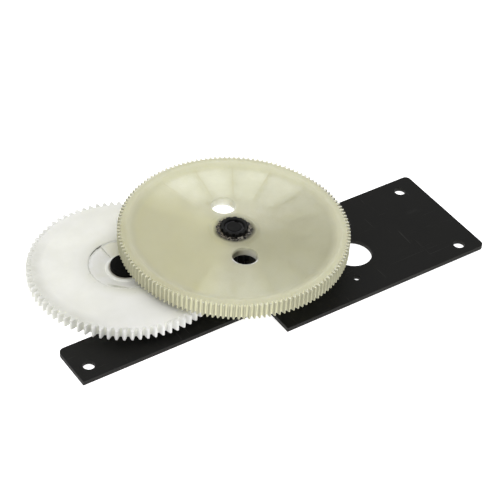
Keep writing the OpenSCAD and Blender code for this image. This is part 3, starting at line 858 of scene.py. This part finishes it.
def turned_steel(name, dark, light, rough_low, rough_high, centre, rings_mm, gloss):
    """Blackened turned steel: fine rings round an axis, under a patchy film of grease."""
    paint = Paint(name)
    radius, _, _ = paint.around(centre)
    film = paint.noise(260, 4, 0.6, seed=rings_mm * 9)
    colour = paint.mix(paint.fade(film, 0.35, 0.7), dark, light)
    paint.set(base_color=colour, metallic=0.0, specular_ior_level=gloss)
    paint.set(roughness=paint.fade(film, 0.3, 0.7, rough_low, rough_high))
    turning = paint.math("SINE", paint.times(radius, TAU / rings_mm))
    paint.bump(paint.math("ADD", paint.times(turning, 0.4), film), 0.00003)
    return paint.material


def plain_metal(name, dark, light, rough_low, rough_high, pits=0.00003):
    """Small hardware: cloudy plating or sintered bronze, with a fine grain."""
    paint = Paint(name)
    cloud = paint.noise(240, 4, 0.6, seed=len(name))
    colour = paint.mix(paint.fade(cloud, 0.35, 0.68), dark, light)
    paint.set(base_color=colour, metallic=1.0)
    paint.set(roughness=paint.fade(cloud, 0.3, 0.7, rough_low, rough_high))
    paint.bump(paint.noise(2600, 3, 0.6, seed=1.4), pits)
    return paint.material


def grease(name, dark, light, thinned_and_glinting):
    """Dirty grease: wet, thick, with paler streaks where it thins out, paler still on one side as painted
    glints.
    """
    paint = Paint(name)
    _, angle, _ = paint.around(IDLER)
    glint_side = math.radians(-80)
    streaks = paint.noise(620, 3, 0.55, seed=2.6)
    # Painted glints: the streaks are paler on one side of the pinion.
    pale = paint.mix(paint.arc(angle, glint_side, 0.7, 0.7), light, thinned_and_glinting)
    colour = paint.mix(paint.fade(streaks, 0.46, 0.60), dark, pale)
    paint.set(base_color=colour, roughness=paint.fade(streaks, 0.3, 0.7, 0.18, 0.42), ior=1.47)
    paint.bump(streaks, 0.00012)
    return paint.material


# ---------------------------------------------------------------- pieces


def give(obj, material, body=None, node=None):
    """Sets an object's one material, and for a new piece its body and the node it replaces."""
    obj.data.materials.clear()
    obj.data.materials.append(material)
    if body:
        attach(obj, body)
    if node:
        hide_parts(node)


def ease_edges(node, width, material, segments):
    """Keeps a CAD node, joins its split corners, rounds its edges a little and gives it a material."""
    obj = frame["nodes"][node]
    weld = obj.modifiers.new("weld", "WELD")
    weld.merge_threshold = JOIN_WITHIN / 2 * MM
    bevel = obj.modifiers.new("edges", "BEVEL")
    bevel.width, bevel.segments = width * MM, segments
    bevel.limit_method, bevel.angle_limit = "ANGLE", math.radians(40)
    bevel.harden_normals = True
    bevel.use_clamp_overlap = True
    give(obj, material)


def dress_hardware():
    """Gives the plate, the stud's parts, the bearing, the hub and the washer their materials."""
    small_edge, plate_edge = 0.12, 0.35
    zinc = plain_metal("zinc_plate", (0.42, 0.42, 0.40), (0.60, 0.60, 0.57), 0.28, 0.45)
    bronze = plain_metal("sintered_bronze", (0.34, 0.21, 0.09), (0.48, 0.31, 0.14), 0.38, 0.6, pits=0.00008)
    spring = plain_metal("spring_steel", (0.030, 0.030, 0.032), (0.07, 0.07, 0.072), 0.3, 0.5)
    rivet = plain_metal("rivet_steel", (0.30, 0.30, 0.30), (0.46, 0.46, 0.45), 0.3, 0.5)
    stud = turned_steel("stud_steel", (0.005, 0.005, 0.005), (0.012, 0.012, 0.011), 0.42, 0.6, IDLER,
                        rings_mm=0.45, gloss=0.12)
    hub = turned_steel("hub_steel", (0.002, 0.002, 0.002), (0.007, 0.007, 0.006), 0.45, 0.65, OUTPUT,
                       rings_mm=0.5, gloss=0.05)
    finishes = {
        zinc: ("idler_spacer", "idler_shim", "output_bearing_flange", "output_thrust_washer"),
        bronze: ("idler_thrust_washer", "output_bearing_bush", "pinion_bush_lower", "pinion_bush_upper"),
        spring: ("idler_snap_ring", "gear_retaining_ring", "output_circlip"),
        rivet: ("bearing_rivets", "hub_rivets"),
        stud: ("idler_stud",),
        hub: ("output_hub",),
        washer_nylon(): ("dished_washer",),
    }
    for material, nodes in finishes.items():
        for node in nodes:
            ease_edges(node, small_edge, material, 2)
    ease_edges("mounting_plate", plate_edge, black_plate(), 3)


def dress_gears():
    """Puts the detailed gears and pinion in the place of their CAD nodes."""
    give(large_gear(), ivory_nylon(), "intermediate_gear", "input_gear")
    give(white_gear(), white_nylon(), "output", "output_gear")
    steel = turned_steel("pinion_steel", (0.004, 0.004, 0.004), (0.012, 0.012, 0.011), 0.42, 0.6, IDLER,
                         rings_mm=0.6, gloss=0.18)
    give(pinion(), steel, "intermediate_gear", "drive_pinion")


def dress_grease():
    """Adds a collar of grease round the pinion's end, streaks at the recess's edge, and a pale film there as
    painted light over the shade line.
    """
    dark = grease("dark_grease", (0.010, 0.008, 0.005), (0.15, 0.125, 0.085), (0.27, 0.25, 0.20))
    thin = grease("thin_grease", (0.055, 0.055, 0.035), (0.16, 0.16, 0.11), (0.16, 0.16, 0.11))
    collar = lump_ring("pinion_grease", IDLER, 8.75, 11.35, TEETH_TOP, 0.42, seed=4)
    give(collar, dark, "intermediate_gear")
    # Direction and half length in degrees, then distance from the axis and half width
    streaks = {"recess_grease_back": (116, 17, 22.9, 0.30), "recess_grease_dark": (107, 6, 22.85, 0.55),
               "recess_grease_right": (-89, 5, 22.4, 0.45)}
    for seed, (name, (middle, spread, reach, width)) in enumerate(streaks.items()):
        start, end = math.radians(middle - spread), math.radians(middle + spread)
        streak = smear(name, OUTPUT, reach, start, end, WHITE_HIGH - 0.35, width, 0.16, seed)
        give(streak, thin, "output")
    # Painted light: a pale film laid on the recess's edge to cover the shade line between the mouth and the
    # washer.
    clear = grease("pale_shade_cover", (0.80, 0.80, 0.72), (0.90, 0.90, 0.85), (0.86, 0.86, 0.80))
    film = lump_ring("recess_edge_pale_cover", OUTPUT, RECESS_R - 0.15, RECESS_R + 0.6, WHITE_HIGH - 0.56, 0.1,
                     seed=9)
    give(film, clear, "output")


# ---------------------------------------------------------------- floor, light, camera

# Lengths in metres
FLOOR_HALF, FLOOR_GAP, FLOOR_GLOW = 4.0, 0.0002, 0.85
HORIZON_LIGHT, ZENITH_LIGHT = 0.22, 1.1
# Place, size and power of each light panel
PANELS = {"overhead_panel": ((-0.25, 0.35, 1.3), 1.0, 2.5), "side_panel": ((-0.9, -0.5, 0.9), 0.7, 1.0)}
AZIMUTH, ELEVATION, ROLL = (math.radians(a) for a in (36.4, 40.65, 3.97))
CAMERA_AIM, CAMERA_DISTANCE = Vector((-0.0532, 0.0383, 0.0)), 1.1377
SENSOR_MM, LENS_MM = 36.0, 127.54


def build_floor():
    """A pale matt floor under the part, wide enough to fill the view."""
    made = bmesh.new()
    bmesh.ops.create_grid(made, x_segments=2, y_segments=2, size=FLOOR_HALF)
    mesh = bpy.data.meshes.new("floor")
    made.to_mesh(mesh)
    made.free()
    floor = bpy.data.objects.new("floor", mesh)
    floor.location.z = -FLOOR_GAP
    bpy.context.scene.collection.objects.link(floor)
    paint = Paint("floor_paper")
    paint.set(base_color=(0.9, 0.9, 0.9), roughness=0.9)
    paint.set(emission_color=(1.0, 1.0, 1.0), emission_strength=FLOOR_GLOW)
    mesh.materials.append(paint.material)


def build_light():
    """Soft studio light: a white surround that dims towards the horizon, and two large panels."""
    world = bpy.data.worlds.new("studio")
    world.use_nodes = True
    nodes, links = world.node_tree.nodes, world.node_tree.links
    split = nodes.new("ShaderNodeSeparateXYZ")
    links.new(nodes.new("ShaderNodeTexCoord").outputs["Generated"], split.inputs[0])
    rise = nodes.new("ShaderNodeMapRange")
    for socket, number in zip(rise.inputs[1:5], (0.0, 1.0, HORIZON_LIGHT, ZENITH_LIGHT)):
        socket.default_value = number
    links.new(split.outputs[2], rise.inputs[0])
    nodes["Background"].inputs["Color"].default_value = (1, 1, 1, 1)
    links.new(rise.outputs[0], nodes["Background"].inputs["Strength"])
    bpy.context.scene.world = world
    for name, (spot, size, power) in PANELS.items():
        data = bpy.data.lights.new(name, "AREA")
        data.size, data.energy = size, power
        lamp = bpy.data.objects.new(name, data)
        lamp.location = spot
        aim = Vector((IDLER[0] * MM, IDLER[1] * MM, 0)) - Vector(spot)
        lamp.rotation_euler = aim.to_track_quat("-Z", "Y").to_euler()
        bpy.context.scene.collection.objects.link(lamp)


def build_camera():
    """Looks from the front left, well above, with a long lens and a slight tilt."""
    flat = math.cos(ELEVATION)
    forward = Vector((math.sin(AZIMUTH) * flat, math.cos(AZIMUTH) * flat, -math.sin(ELEVATION)))
    level = forward.cross(Vector((0, 0, 1))).normalized()
    above = level.cross(forward)
    right = level * math.cos(ROLL) + above * math.sin(ROLL)
    up = above * math.cos(ROLL) - level * math.sin(ROLL)
    data = bpy.data.cameras.new("camera")
    data.sensor_width = SENSOR_MM
    data.lens = LENS_MM
    camera = bpy.data.objects.new("camera", data)
    turn = Matrix((right, up, -forward)).transposed().to_4x4()
    camera.matrix_world = Matrix.Translation(CAMERA_AIM - forward * CAMERA_DISTANCE) @ turn
    bpy.context.scene.collection.objects.link(camera)
    bpy.context.scene.camera = camera


build_camera()
build_light()
build_floor()
dress_hardware()
dress_gears()
dress_grease()
bpy.context.scene.view_settings.view_transform = "Standard"

bpy.context.view_layer.update()
